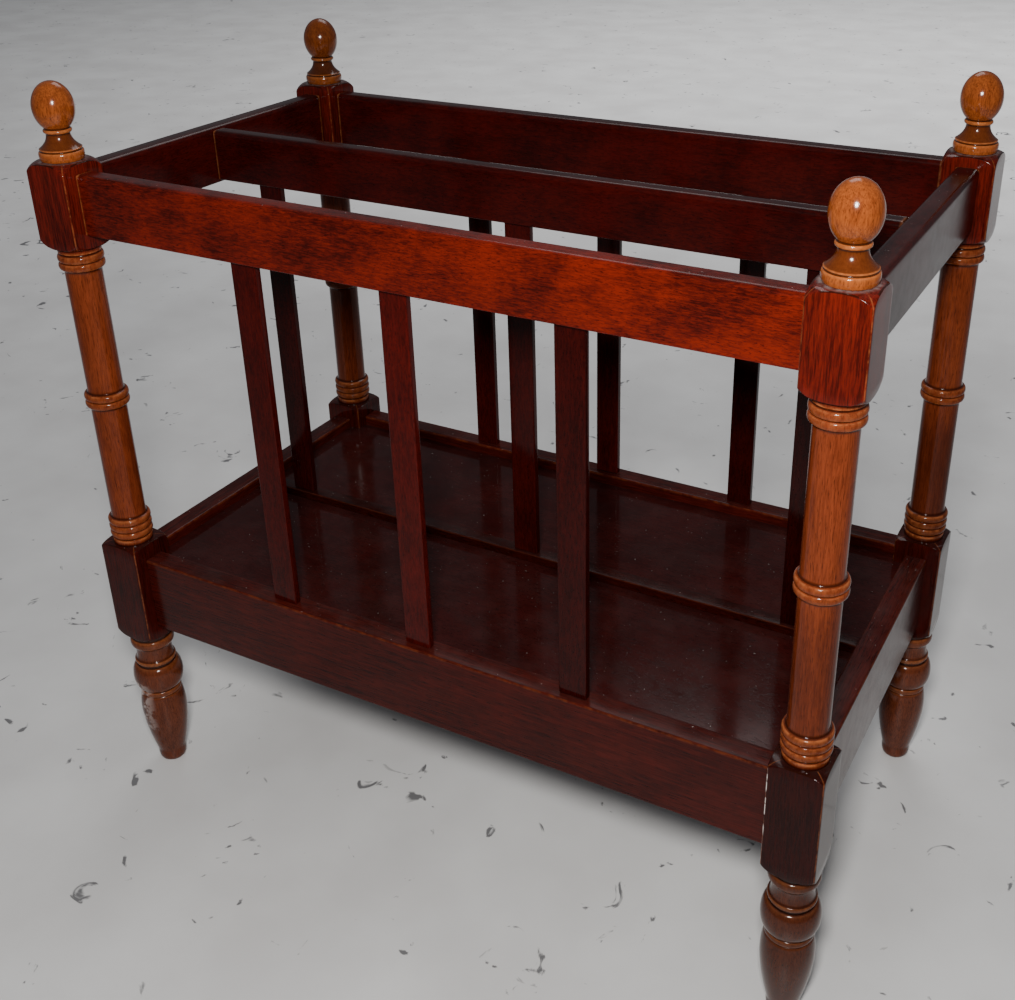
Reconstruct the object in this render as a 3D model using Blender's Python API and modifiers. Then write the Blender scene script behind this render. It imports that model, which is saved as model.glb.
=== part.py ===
"""A newspaper rack in turned and planed cherry-coloured wood.

Four corner posts stand on turned feet and carry turned finials. Four top rails, four aprons and a
divider rail are tenoned between them. Nine flat slats close the sides and the divider, and a tray
panel lies in grooves round the aprons. Metres, +Z up, the floor at Z = 0, the long side along X.
"""
import bpy
from math import cos, pi, sin

MM = 0.001

# ------------------------------------------------------------------ driving sizes
POST_SPACING_X = 463 * MM       # between post axes, along the rack
POST_SPACING_Y = 243 * MM       # between post axes, across the rack
BLOCK = 30 * MM                 # the square stock of the posts
BLOCK_EASE = 0.8 * MM           # eased upright edges of the blocks

FOOT_HEIGHT = 110 * MM          # floor to the seat of the lower block
LOWER_BLOCK_HEIGHT = 73.7 * MM
SHAFT_HEIGHT = 202.6 * MM
UPPER_BLOCK_HEIGHT = 51.2 * MM
FINIAL_HEIGHT = 44.6 * MM

SHAFT_R = 10.9 * MM
COLLAR_R = 12.6 * MM            # plain collars that meet the blocks
RIDGE_R = 13.5 * MM             # crests of the ring groups
RIDGE_GROOVE_R = 12.0 * MM
RIDGE_PITCH = 4.8 * MM
TOP_RIDGES_BELOW_BLOCK = 6.5 * MM
MIDDLE_RIDGES_ABOVE_BLOCK = 105.8 * MM
LOW_RIDGES_ABOVE_BLOCK = 7.2 * MM
SHOULDER_DEPTH = 9 * MM         # turned shoulders of the blocks, from seat to corner
LOW_SHOULDER_DEPTH = 4.5 * MM   # the flatter shoulder on top of the lower block

FOOT_NECK_R = 12.8 * MM         # the thin places between the bead, the ball and the vase
FOOT_SEAT_DEPTH = 2.8 * MM      # plain stretch under the block
FOOT_BEAD_HEIGHT = 6.6 * MM
FOOT_BEAD_OUT = 1.8 * MM
FOOT_COVE_HEIGHT = 10.5 * MM
FOOT_COVE_IN = 0.9 * MM
FOOT_RIDGE_OUT = 0.9 * MM
FOOT_RIDGE_GAP = 1.6 * MM       # between a thin ridge and the shapes beside it
FOOT_BALL_R = 16.7 * MM
FOOT_BALL_HEIGHT = 20 * MM
FOOT_VASE_TOP_PULL = 14 * MM    # how far the curve of the vase stays wide, and then narrow
FOOT_VASE_END_PULL = 17 * MM
FOOT_WAIST_HEIGHT = 9.5 * MM
FOOT_END_R = 9.6 * MM
FOOT_END_HEIGHT = 5.5 * MM
FOOT_END_EASE = 2 * MM
FOOT_FLAT_R = 6.5 * MM

FINIAL_EGG_R = 11.8 * MM
FINIAL_EGG_HEIGHT = 29 * MM     # of the whole egg, part of which the collar cuts off
FINIAL_COLLAR_HEIGHT = 2.8 * MM
FINIAL_COLLAR_OUT = 0.9 * MM
FINIAL_RIDGE_R = 11.5 * MM      # the foot of the neck
FINIAL_RIDGE_HEIGHT = 8.4 * MM
FINIAL_GROOVE_DEPTH = 0.5 * MM
FINIAL_GROOVE_DROP = 1.3 * MM
FINIAL_BASE_R = 12.7 * MM
FINIAL_BASE_HEIGHT = 2.6 * MM   # of its widest place above the block
FINIAL_BASE_EASE = 0.5 * MM

RAIL_THICKNESS = 14 * MM
RAIL_HEIGHT = 35.7 * MM
RAIL_BELOW_BLOCK_TOP = 6 * MM
RAIL_ROUND = 3.2 * MM           # rounded top edges of the rails
DIVIDER_THICKNESS = 12.5 * MM
DIVIDER_HEIGHT = 32 * MM
DIVIDER_BELOW_RAIL = 1.6 * MM
APRON_HEIGHT = 52.5 * MM
APRON_BELOW_BLOCK_TOP = 10 * MM
APRON_EASE = 1.2 * MM

PANEL_THICKNESS = 6 * MM
PANEL_BELOW_APRON = 7.5 * MM
PANEL_IN_GROOVE = 5 * MM
BATTEN_THICKNESS = 9.8 * MM
BATTEN_HEIGHT = 5.9 * MM
BATTEN_HOUSING = 3 * MM

SLAT_WIDTH = 17 * MM
SLAT_THICKNESS = 5 * MM
SLAT_EASE = 0.5 * MM
SLAT_IN_RAIL = 9 * MM           # how deep a slat stands in each piece
SLAT_IN_BATTEN = 4 * MM
HOUSING_WEB = 1.5 * MM          # wood left in an apron between a slat's foot and the panel's groove
SLAT_INSET = 113.5 * MM         # outer slats of the long sides, from the post blocks
DIVIDER_SLAT_INSET = 39.5 * MM  # outer slats of the divider, from the side rails
FRONT_SLAT_DRIFT = 4 * MM       # the front middle and right slats stand this far left of true

TENON_THICKNESS = 7 * MM
TENON_SHOULDER = 5 * MM         # above and below each tenon
TENON_WEB = 2.2 * MM            # wood left between two mortises that meet in a post
DIVIDER_TENON_LENGTH = 6 * MM
FINIAL_SPIGOT_R = 3.5 * MM
FINIAL_SPIGOT_LENGTH = 12 * MM
FOOT_SPIGOT_R = 4.5 * MM
FOOT_SPIGOT_LENGTH = 14 * MM

GAP = 0.3 * MM                  # between pieces that touch
TURN_STEPS = 20                 # flats round a turned piece
MERGE = 0.01 * MM
OVERCUT = 2 * MM                # how far a cutter or a tenon's root runs past a face

# ------------------------------------------------------------------ levels and places
LOWER_SEAT = FOOT_HEIGHT
LOWER_TOP = LOWER_SEAT + LOWER_BLOCK_HEIGHT
UPPER_SEAT = LOWER_TOP + SHAFT_HEIGHT
UPPER_TOP = UPPER_SEAT + UPPER_BLOCK_HEIGHT
CORNER_R = BLOCK / 2 ** 0.5 + OVERCUT / 5   # just past the corner of the square

HALF_X = POST_SPACING_X / 2
HALF_Y = POST_SPACING_Y / 2
RAIL_TOP = UPPER_TOP - RAIL_BELOW_BLOCK_TOP
RAIL_BOTTOM = RAIL_TOP - RAIL_HEIGHT
DIVIDER_TOP = RAIL_TOP - DIVIDER_BELOW_RAIL
DIVIDER_BOTTOM = DIVIDER_TOP - DIVIDER_HEIGHT
APRON_TOP = LOWER_TOP - APRON_BELOW_BLOCK_TOP
APRON_BOTTOM = APRON_TOP - APRON_HEIGHT
PANEL_TOP = APRON_TOP - PANEL_BELOW_APRON
BATTEN_BOTTOM = PANEL_TOP + GAP
BATTEN_TOP = BATTEN_BOTTOM + BATTEN_HEIGHT
MORTISE_DEPTH = BLOCK / 2 - TENON_THICKNESS / 2 - TENON_WEB
SIDE_INNER_X = HALF_X - RAIL_THICKNESS / 2
SLAT_IN_APRON = PANEL_BELOW_APRON - HOUSING_WEB

WOODS = {                       # colour and roughness of each kind of piece
    "post": ((0.230, 0.060, 0.022), 0.22),
    "finial": ((0.340, 0.125, 0.035), 0.20),
    "foot": ((0.130, 0.045, 0.022), 0.24),
    "rail": ((0.210, 0.035, 0.018), 0.22),
    "divider": ((0.120, 0.022, 0.014), 0.22),
    "apron": ((0.090, 0.022, 0.016), 0.22),
    "tray": ((0.070, 0.020, 0.015), 0.16),
    "slat": ((0.120, 0.020, 0.014), 0.24),
}


# ------------------------------------------------------------------ helpers
def wood(name, kind):
    """A Principled material for one piece."""
    colour, roughness = WOODS[kind]
    material = bpy.data.materials.new(name)
    material.use_nodes = True
    shader = material.node_tree.nodes["Principled BSDF"]
    shader.inputs["Base Color"].default_value = (*colour, 1)
    shader.inputs["Roughness"].default_value = roughness
    shader.inputs["Metallic"].default_value = 0
    return material


def add_object(name, mesh, location=(0, 0, 0), kind=None):
    """A piece in the rack's collection, or a cutter if it has no kind of wood."""
    piece = bpy.data.objects.new(name, mesh)
    piece.location = location
    if kind is None:
        cutters.objects.link(piece)
        piece.hide_render = True
        piece.display_type = "WIRE"
    else:
        rack.objects.link(piece)
        piece.data.materials.append(wood(name, kind))
    return piece


def box_mesh(name, size):
    """A cube primitive scaled to its size."""
    bpy.ops.mesh.primitive_cube_add(size=1)
    cube = bpy.context.object
    mesh = cube.data
    bpy.data.objects.remove(cube)
    mesh.name = name
    for vertex in mesh.vertices:
        vertex.co = [value * extent for value, extent in zip(vertex.co, size)]
    return mesh


def bevel_edges(piece, width, segments, chosen):
    """A Bevel on the edges for which chosen(direction, middle) is true."""
    mesh = piece.data
    weights = mesh.attributes.new("bevel_weight_edge", "FLOAT", "EDGE")
    for edge in mesh.edges:
        start, end = (mesh.vertices[index].co for index in edge.vertices)
        weights.data[edge.index].value = float(chosen(end - start, (start + end) / 2))
    bevel = piece.modifiers.new("eased edges", "BEVEL")
    bevel.limit_method = "WEIGHT"
    bevel.width = width
    bevel.segments = segments


def combine(piece, other, operation):
    """A Boolean with a cutter, or with a root that joins the piece."""
    boolean = piece.modifiers.new(other.name, "BOOLEAN")
    boolean.object = other
    boolean.operation = operation
    boolean.solver = "EXACT"


def cut_box(piece, size, centre):
    """Cuts a box out of a piece, with the box's size and centre in world metres."""
    name = f"{piece.name}_cut_{len(piece.modifiers)}"
    combine(piece, add_object(name, box_mesh(name, size), centre), "DIFFERENCE")


def join_box(piece, size, centre):
    """Joins a box to a piece, such as a tenon."""
    name = f"{piece.name}_joined_{len(piece.modifiers)}"
    combine(piece, add_object(name, box_mesh(name, size), centre), "UNION")


def turned_mesh(name, outline):
    """A mesh of edges down the outer side of a turning, from the axis at its top to its bottom."""
    mesh = bpy.data.meshes.new(name)
    points = [(radius, 0, height) for radius, height in outline]
    mesh.from_pydata(points, [(index, index + 1) for index in range(len(points) - 1)], [])
    return mesh


def turn(piece):
    """Spins a piece's outline into a closed solid."""
    screw = piece.modifiers.new("turning", "SCREW")
    screw.steps = TURN_STEPS
    screw.render_steps = TURN_STEPS
    screw.use_merge_vertices = True
    screw.merge_threshold = MERGE
    screw.use_smooth_shade = True
    weld = piece.modifiers.new("poles", "WELD")
    weld.merge_threshold = MERGE


def bow(start, end, bulge, steps):
    """Points of half an ellipse from start to end, which stands out by bulge (in, if negative)."""
    along = (end[0] - start[0], end[1] - start[1])
    length = (along[0] ** 2 + along[1] ** 2) ** 0.5
    outward = (-along[1] / length, along[0] / length)
    points = []
    for step in range(steps + 1):
        share = (1 - cos(pi * step / steps)) / 2
        out = bulge * sin(pi * step / steps)
        points.append((start[0] + along[0] * share + outward[0] * out,
                       start[1] + along[1] * share + outward[1] * out))
    return points


def bezier(start, first, second, end, steps):
    """Points of a cubic curve after its start."""
    points = []
    for step in range(1, steps + 1):
        t = step / steps
        weights = ((1 - t) ** 3, 3 * t * (1 - t) ** 2, 3 * t * t * (1 - t), t ** 3)
        points.append(tuple(sum(weight * point[axis] for weight, point
                                in zip(weights, (start, first, second, end))) for axis in (0, 1)))
    return points


def shoulder(seat, depth, rising):
    """A quarter ellipse from a block's seat to its corner, listed from top to bottom."""
    inner = COLLAR_R
    steps = 4
    points = []
    for step in range(steps + 1):
        angle = pi / 2 * step / steps
        points.append((inner + (CORNER_R - inner) * sin(angle), seat - depth * (1 - cos(angle))))
    if rising:
        points = [(radius, 2 * seat - height) for radius, height in reversed(points)]
    return points


def ridges(first_crest, count):
    """Sharp ridges with grooves between, from above the first crest to below the last."""
    points = [(RIDGE_GROOVE_R, first_crest + RIDGE_PITCH / 2)]
    for index in range(count):
        crest = first_crest - index * RIDGE_PITCH
        points += [(RIDGE_R, crest), (RIDGE_GROOVE_R, crest - RIDGE_PITCH / 2)]
    return points


# ------------------------------------------------------------------ turned pieces
def post_outline():
    """Lower block, ringed shaft and upper block, before the blocks are squared."""
    fillet = RIDGE_PITCH / 2
    top_crest = UPPER_SEAT - TOP_RIDGES_BELOW_BLOCK
    middle_crest = LOWER_TOP + MIDDLE_RIDGES_ABOVE_BLOCK
    low_crest = LOWER_TOP + LOW_RIDGES_ABOVE_BLOCK + 2 * RIDGE_PITCH
    top_end = top_crest - RIDGE_PITCH * 1.5 - fillet
    middle_end = middle_crest - RIDGE_PITCH * 1.5 - fillet
    return [(0, UPPER_TOP),
            *shoulder(UPPER_TOP, SHOULDER_DEPTH, rising=False),
            *shoulder(UPPER_SEAT, SHOULDER_DEPTH, rising=True),
            (COLLAR_R, top_crest + RIDGE_PITCH / 2 + fillet / 4),
            *ridges(top_crest, 2),
            (SHAFT_R, top_end),
            (SHAFT_R, middle_crest + RIDGE_PITCH / 2 + fillet),
            *ridges(middle_crest, 2),
            (SHAFT_R, middle_end),
            (SHAFT_R, low_crest + RIDGE_PITCH / 2 + fillet),
            *ridges(low_crest, 3),
            (COLLAR_R, low_crest - RIDGE_PITCH * 2.5 - fillet / 4),
            *shoulder(LOWER_TOP, LOW_SHOULDER_DEPTH, rising=False),
            *shoulder(LOWER_SEAT, SHOULDER_DEPTH, rising=True),
            (0, LOWER_SEAT)]


def finial_outline():
    """An egg on a thin collar, a flared neck and a round base, with its spigot below."""
    seat = UPPER_TOP + GAP
    egg_half_height = FINIAL_EGG_HEIGHT / 2
    egg_centre = UPPER_TOP + FINIAL_HEIGHT - egg_half_height
    egg_steps = 8
    egg_end = 0.8 * pi
    egg = [(FINIAL_EGG_R * sin(egg_end * step / egg_steps),
            egg_centre + egg_half_height * cos(egg_end * step / egg_steps))
           for step in range(egg_steps + 1)]
    neck_r, collar_top = egg[-1]
    neck_top = (neck_r, collar_top - FINIAL_COLLAR_HEIGHT)
    ridge = (FINIAL_RIDGE_R, seat + FINIAL_RIDGE_HEIGHT)
    flare = (FINIAL_RIDGE_R - FINIAL_RIDGE_HEIGHT / 4, ridge[1] + FINIAL_GROOVE_DROP)
    groove = (FINIAL_RIDGE_R - FINIAL_GROOVE_DEPTH, ridge[1] - FINIAL_GROOVE_DROP)
    spigot_end = UPPER_TOP - FINIAL_SPIGOT_LENGTH
    return [*egg,
            (neck_r + FINIAL_COLLAR_OUT, collar_top - FINIAL_COLLAR_HEIGHT / 2),
            neck_top,
            *bezier(neck_top, (neck_r, neck_top[1] - FINIAL_COLLAR_HEIGHT), flare, ridge, 3),
            groove,
            (FINIAL_BASE_R - FINIAL_BASE_EASE / 2, (groove[1] + seat + FINIAL_BASE_HEIGHT) / 2),
            (FINIAL_BASE_R, seat + FINIAL_BASE_HEIGHT),
            (FINIAL_BASE_R - FINIAL_BASE_EASE, seat),
            (FINIAL_SPIGOT_R, seat),
            (FINIAL_SPIGOT_R, spigot_end),
            (0, spigot_end)]


def foot_outline():
    """Bead, cove, ball and a vase that tapers to a round end, with its spigot above."""
    seat = LOWER_SEAT - GAP
    spigot_end = LOWER_SEAT + FOOT_SPIGOT_LENGTH
    bead_top = seat - FOOT_SEAT_DEPTH
    bead_bottom = bead_top - FOOT_BEAD_HEIGHT
    cove_bottom = bead_bottom - FOOT_COVE_HEIGHT
    ridge = cove_bottom - FOOT_RIDGE_GAP
    ball_top = ridge - 2 * FOOT_RIDGE_GAP
    ball_bottom = ball_top - FOOT_BALL_HEIGHT
    lower_ridge = ball_bottom - 2 * FOOT_RIDGE_GAP
    vase_top = (FOOT_NECK_R + FOOT_RIDGE_OUT, lower_ridge - FOOT_RIDGE_GAP)
    waist = (FOOT_END_R, FOOT_WAIST_HEIGHT)
    return [(0, spigot_end),
            (FOOT_SPIGOT_R, spigot_end),
            (FOOT_SPIGOT_R, seat),
            (FOOT_NECK_R, seat),
            *bow((FOOT_NECK_R, bead_top), (FOOT_NECK_R, bead_bottom), FOOT_BEAD_OUT, 4),
            *bow((FOOT_NECK_R, bead_bottom - GAP), (FOOT_NECK_R, cove_bottom), -FOOT_COVE_IN, 3),
            (FOOT_NECK_R + FOOT_RIDGE_OUT, ridge),
            (FOOT_NECK_R, ridge - FOOT_RIDGE_GAP),
            *bow((FOOT_NECK_R, ball_top), (FOOT_NECK_R, ball_bottom), FOOT_BALL_R - FOOT_NECK_R, 6),
            (FOOT_NECK_R + FOOT_RIDGE_OUT, lower_ridge),
            vase_top,
            *bezier(vase_top, (FOOT_BALL_R + FOOT_RIDGE_OUT, vase_top[1] - FOOT_VASE_TOP_PULL),
                    (FOOT_NECK_R + FOOT_RIDGE_OUT, FOOT_WAIST_HEIGHT + FOOT_VASE_END_PULL), waist, 5),
            (FOOT_END_R, FOOT_END_HEIGHT),
            (FOOT_END_R - FOOT_END_EASE / 2, FOOT_END_EASE),
            (FOOT_FLAT_R, 0),
            (0, 0)]


def make_post(name, side_x, side_y):
    """A turned post squared at its blocks, with mortises for two rails and two aprons."""
    post = add_object(name, turned_mesh(name, post_outline()), (side_x * HALF_X, side_y * HALF_Y, 0), "post")
    turn(post)
    height = UPPER_TOP + 2 * OVERCUT
    square = add_object(f"{name}_square", box_mesh(f"{name}_square", (BLOCK, BLOCK, height)),
                        (post.location.x, post.location.y, height / 2))
    bevel_edges(square, BLOCK_EASE, 2, lambda along, middle: abs(along.z) > BLOCK)
    combine(post, square, "INTERSECT")
    width = TENON_THICKNESS + 2 * GAP
    depth = MORTISE_DEPTH + OVERCUT
    reach = BLOCK / 2 - MORTISE_DEPTH + depth / 2
    for bottom, top in ((RAIL_BOTTOM, RAIL_TOP), (APRON_BOTTOM, APRON_TOP)):
        tall = top - bottom - 2 * TENON_SHOULDER + 2 * GAP
        middle = (top + bottom) / 2
        cut_box(post, (depth, width, tall), (side_x * (HALF_X - reach), side_y * HALF_Y, middle))
        cut_box(post, (width, depth, tall), (side_x * HALF_X, side_y * (HALF_Y - reach), middle))
    for radius, start, end in ((FINIAL_SPIGOT_R, UPPER_TOP - FINIAL_SPIGOT_LENGTH, UPPER_TOP + OVERCUT),
                               (FOOT_SPIGOT_R, LOWER_SEAT - OVERCUT, LOWER_SEAT + FOOT_SPIGOT_LENGTH)):
        low = start - GAP
        high = end + GAP
        hole = [(0, high), (radius + GAP, high), (radius + GAP, low), (0, low)]
        cutter_name = f"{name}_socket_{len(post.modifiers)}"
        socket = add_object(cutter_name, turned_mesh(cutter_name, hole), post.location)
        turn(socket)
        combine(post, socket, "DIFFERENCE")


def make_finial_and_foot(corner, side_x, side_y):
    """The turned pieces above and below one post."""
    place = (side_x * HALF_X, side_y * HALF_Y, 0)
    for kind, outline in (("finial", finial_outline()), ("foot", foot_outline())):
        name = f"{kind}_{corner}"
        turn(add_object(name, turned_mesh(name, outline), place, kind))


# ------------------------------------------------------------------ boards
def board(name, kind, length, thickness, bottom, top, place, along_x, round_width, round_segments):
    """An upright board with rounded top edges, along X or along Y."""
    size = (length, thickness, top - bottom) if along_x else (thickness, length, top - bottom)
    piece = add_object(name, box_mesh(name, size), (*place, (top + bottom) / 2), kind)
    axis = 0 if along_x else 1
    bevel_edges(piece, round_width, round_segments,
                lambda along, middle: abs(along[axis]) > length / 2 and middle.z > 0)
    return piece


def add_tenons(piece, length, bottom, top, tenon_length, thickness, along_x):
    """A stub tenon on each end of a board."""
    tall = top - bottom - 2 * TENON_SHOULDER
    reach = tenon_length + OVERCUT
    for end in (-1, 1):
        offset = end * (length / 2 + tenon_length - reach / 2)
        x, y, z = piece.location
        if along_x:
            join_box(piece, (reach, thickness, tall), (x + offset, y, z))
        else:
            join_box(piece, (thickness, reach, tall), (x, y + offset, z))


def long_side_slats(side):
    """Slat centres along X in the front (-1) or the back (1)."""
    outer = HALF_X - BLOCK / 2 - SLAT_INSET
    drift = FRONT_SLAT_DRIFT if side < 0 else 0
    return {"left": -outer, "middle": -drift, "right": outer - drift}


def divider_slats():
    """Slat centres along X in the divider."""
    outer = SIDE_INNER_X - DIVIDER_SLAT_INSET
    return {"left": -outer, "middle": 0, "right": outer}


def house_slats(piece, centres, y, mouth, depth, downward):
    """Blind housings for slats, in a top edge (downward) or in a bottom edge."""
    tall = depth + GAP + OVERCUT
    middle = mouth - depth - GAP + tall / 2 if downward else mouth + depth + GAP - tall / 2
    for x in centres.values():
        cut_box(piece, (SLAT_WIDTH + 2 * GAP, SLAT_THICKNESS + 2 * GAP, tall), (x, y, middle))


def groove_for_panel(piece, length, inward, along_x):
    """The groove along a board's inner face that holds the tray panel."""
    depth = PANEL_IN_GROOVE + GAP + OVERCUT
    offset = inward * (RAIL_THICKNESS / 2 - PANEL_IN_GROOVE - GAP + depth / 2)
    tall = PANEL_THICKNESS + 2 * GAP
    middle = PANEL_TOP - PANEL_THICKNESS / 2
    x, y, _ = piece.location
    run = length + 2 * OVERCUT
    if along_x:
        cut_box(piece, (run, depth, tall), (x, y + offset, middle))
    else:
        cut_box(piece, (depth, run, tall), (x + offset, y, middle))


def make_long_sides():
    """Front and back: a top rail, an apron and three slats each."""
    length = POST_SPACING_X - BLOCK - 2 * GAP
    tenon = MORTISE_DEPTH - 2 * GAP
    for label, side in (("front", -1), ("back", 1)):
        y = side * HALF_Y
        rail = board(f"rail_{label}", "rail", length, RAIL_THICKNESS, RAIL_BOTTOM, RAIL_TOP, (0, y),
                     True, RAIL_ROUND, 3)
        add_tenons(rail, length, RAIL_BOTTOM, RAIL_TOP, tenon, TENON_THICKNESS, True)
        apron = board(f"apron_{label}", "apron", length, RAIL_THICKNESS, APRON_BOTTOM, APRON_TOP, (0, y),
                      True, APRON_EASE, 1)
        add_tenons(apron, length, APRON_BOTTOM, APRON_TOP, tenon, TENON_THICKNESS, True)
        groove_for_panel(apron, length, -side, True)
        centres = long_side_slats(side)
        house_slats(rail, centres, y, RAIL_BOTTOM, SLAT_IN_RAIL, downward=False)
        house_slats(apron, centres, y, APRON_TOP, SLAT_IN_APRON, downward=True)
        for place, x in centres.items():
            make_slat(f"slat_{label}_{place}", x, y, APRON_TOP - SLAT_IN_APRON, RAIL_BOTTOM + SLAT_IN_RAIL)


def make_short_sides():
    """Left and right: a top rail and an apron, housed for the divider and the batten."""
    length = POST_SPACING_Y - BLOCK - 2 * GAP
    tenon = MORTISE_DEPTH - 2 * GAP
    for label, side in (("left", -1), ("right", 1)):
        x = side * HALF_X
        rail = board(f"rail_{label}", "rail", length, RAIL_THICKNESS, RAIL_BOTTOM, RAIL_TOP, (x, 0),
                     False, RAIL_ROUND, 3)
        add_tenons(rail, length, RAIL_BOTTOM, RAIL_TOP, tenon, TENON_THICKNESS, False)
        apron = board(f"apron_{label}", "apron", length, RAIL_THICKNESS, APRON_BOTTOM, APRON_TOP, (x, 0),
                      False, APRON_EASE, 1)
        add_tenons(apron, length, APRON_BOTTOM, APRON_TOP, tenon, TENON_THICKNESS, False)
        groove_for_panel(apron, length, -side, False)
        deep = DIVIDER_TENON_LENGTH + OVERCUT
        tall = DIVIDER_HEIGHT - 2 * TENON_SHOULDER + 2 * GAP
        mortise_x = side * (SIDE_INNER_X + DIVIDER_TENON_LENGTH - deep / 2)
        cut_box(rail, (deep, TENON_THICKNESS + 2 * GAP, tall),
                (mortise_x, 0, (DIVIDER_TOP + DIVIDER_BOTTOM) / 2))
        deep = BATTEN_HOUSING + GAP + OVERCUT
        tall = BATTEN_HEIGHT + 2 * GAP
        housing_x = side * (SIDE_INNER_X + BATTEN_HOUSING + GAP - deep / 2)
        cut_box(apron, (deep, BATTEN_THICKNESS + 2 * GAP, tall),
                (housing_x, 0, (BATTEN_TOP + BATTEN_BOTTOM) / 2))


def make_divider():
    """The rail along the middle, its slats and the batten that they stand in."""
    length = 2 * (SIDE_INNER_X - GAP)
    tenon = DIVIDER_TENON_LENGTH - 2 * GAP
    rail = board("rail_divider", "divider", length, DIVIDER_THICKNESS, DIVIDER_BOTTOM, DIVIDER_TOP, (0, 0),
                 True, RAIL_ROUND, 3)
    add_tenons(rail, length, DIVIDER_BOTTOM, DIVIDER_TOP, tenon, TENON_THICKNESS, True)
    batten_length = 2 * (SIDE_INNER_X + BATTEN_HOUSING)
    batten = board("batten_divider", "apron", batten_length, BATTEN_THICKNESS, BATTEN_BOTTOM, BATTEN_TOP,
                   (0, 0), True, SLAT_EASE, 1)
    centres = divider_slats()
    house_slats(rail, centres, 0, DIVIDER_BOTTOM, SLAT_IN_RAIL, downward=False)
    house_slats(batten, centres, 0, BATTEN_TOP, SLAT_IN_BATTEN, downward=True)
    for place, x in centres.items():
        make_slat(f"slat_divider_{place}", x, 0, BATTEN_TOP - SLAT_IN_BATTEN, DIVIDER_BOTTOM + SLAT_IN_RAIL)


def make_slat(name, x, y, bottom, top):
    """A flat upright slat with eased edges."""
    slat = add_object(name, box_mesh(name, (SLAT_WIDTH, SLAT_THICKNESS, top - bottom)),
                      (x, y, (top + bottom) / 2), "slat")
    bevel_edges(slat, SLAT_EASE, 1, lambda along, middle: abs(along.z) > SLAT_WIDTH)


def make_tray():
    """The panel in the apron grooves, notched round the four posts."""
    edge = PANEL_IN_GROOVE - RAIL_THICKNESS / 2
    size = (POST_SPACING_X + 2 * edge, POST_SPACING_Y + 2 * edge, PANEL_THICKNESS)
    middle = PANEL_TOP - PANEL_THICKNESS / 2
    panel = add_object("panel_tray", box_mesh("panel_tray", size), (0, 0, middle), "tray")
    notch = BLOCK + 2 * GAP
    for side_x in (-1, 1):
        for side_y in (-1, 1):
            cut_box(panel, (notch, notch, PANEL_THICKNESS + OVERCUT),
                    (side_x * HALF_X, side_y * HALF_Y, middle))


# ------------------------------------------------------------------ the rack
for old in list(bpy.data.objects):
    bpy.data.objects.remove(old)
rack = bpy.data.collections.new("newspaper_rack")
cutters = bpy.data.collections.new("cutters")
for collection in (rack, cutters):
    bpy.context.scene.collection.children.link(collection)

CORNERS = {"front_left": (-1, -1), "front_right": (1, -1), "back_left": (-1, 1), "back_right": (1, 1)}
for corner, (side_x, side_y) in CORNERS.items():
    make_post(f"post_{corner}", side_x, side_y)
    make_finial_and_foot(corner, side_x, side_y)
make_long_sides()
make_short_sides()
make_divider()
make_tray()
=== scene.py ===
# %% [markdown]
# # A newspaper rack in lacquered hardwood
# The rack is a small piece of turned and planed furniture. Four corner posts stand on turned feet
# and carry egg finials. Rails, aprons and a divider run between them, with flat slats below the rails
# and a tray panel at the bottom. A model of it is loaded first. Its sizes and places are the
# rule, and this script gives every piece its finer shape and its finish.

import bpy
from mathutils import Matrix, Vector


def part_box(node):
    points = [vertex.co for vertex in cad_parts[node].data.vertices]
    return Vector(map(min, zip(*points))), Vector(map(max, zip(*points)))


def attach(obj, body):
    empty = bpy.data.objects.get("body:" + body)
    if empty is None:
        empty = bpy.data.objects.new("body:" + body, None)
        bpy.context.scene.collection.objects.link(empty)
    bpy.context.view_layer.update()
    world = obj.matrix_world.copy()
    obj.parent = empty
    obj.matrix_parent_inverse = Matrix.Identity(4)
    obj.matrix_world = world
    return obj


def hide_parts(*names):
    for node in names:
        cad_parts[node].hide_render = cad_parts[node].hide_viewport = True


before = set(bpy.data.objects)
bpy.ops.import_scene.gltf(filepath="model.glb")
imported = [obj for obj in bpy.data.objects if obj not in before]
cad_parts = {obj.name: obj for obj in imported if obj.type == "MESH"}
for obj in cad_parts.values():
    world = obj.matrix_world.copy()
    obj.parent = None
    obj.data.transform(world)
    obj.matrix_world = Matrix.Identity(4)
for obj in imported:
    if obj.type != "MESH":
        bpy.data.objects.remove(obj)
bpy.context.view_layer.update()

# %% Tools and units
from math import asin, atan2, cos, pi, radians, sin, tan

import bmesh
import bpy
import numpy as np
from mathutils import Matrix, Vector

MM = 0.001

# %% [markdown]
# ## Camera
# The rack is seen from its front right corner and from above, as someone standing over it sees it.
# The camera's place is worked out from the point that it looks at, two angles and a distance, which are
# easier to reason about than three coordinates. A small lens shift then moves the rack in the frame
# without turning the camera, so its upright lines keep their slant.

# %% Camera
LOOK_AT = Vector((0.02637, 0, 0.27242))
AZIMUTH = radians(28.54)
ELEVATION = radians(26.24)
ROLL = radians(-0.74)
DISTANCE = 0.78796
FOCAL_LENGTH, SENSOR_WIDTH = 44.95, 36
SHIFT_ACROSS, SHIFT_UP = -0.0523, -0.0764

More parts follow.
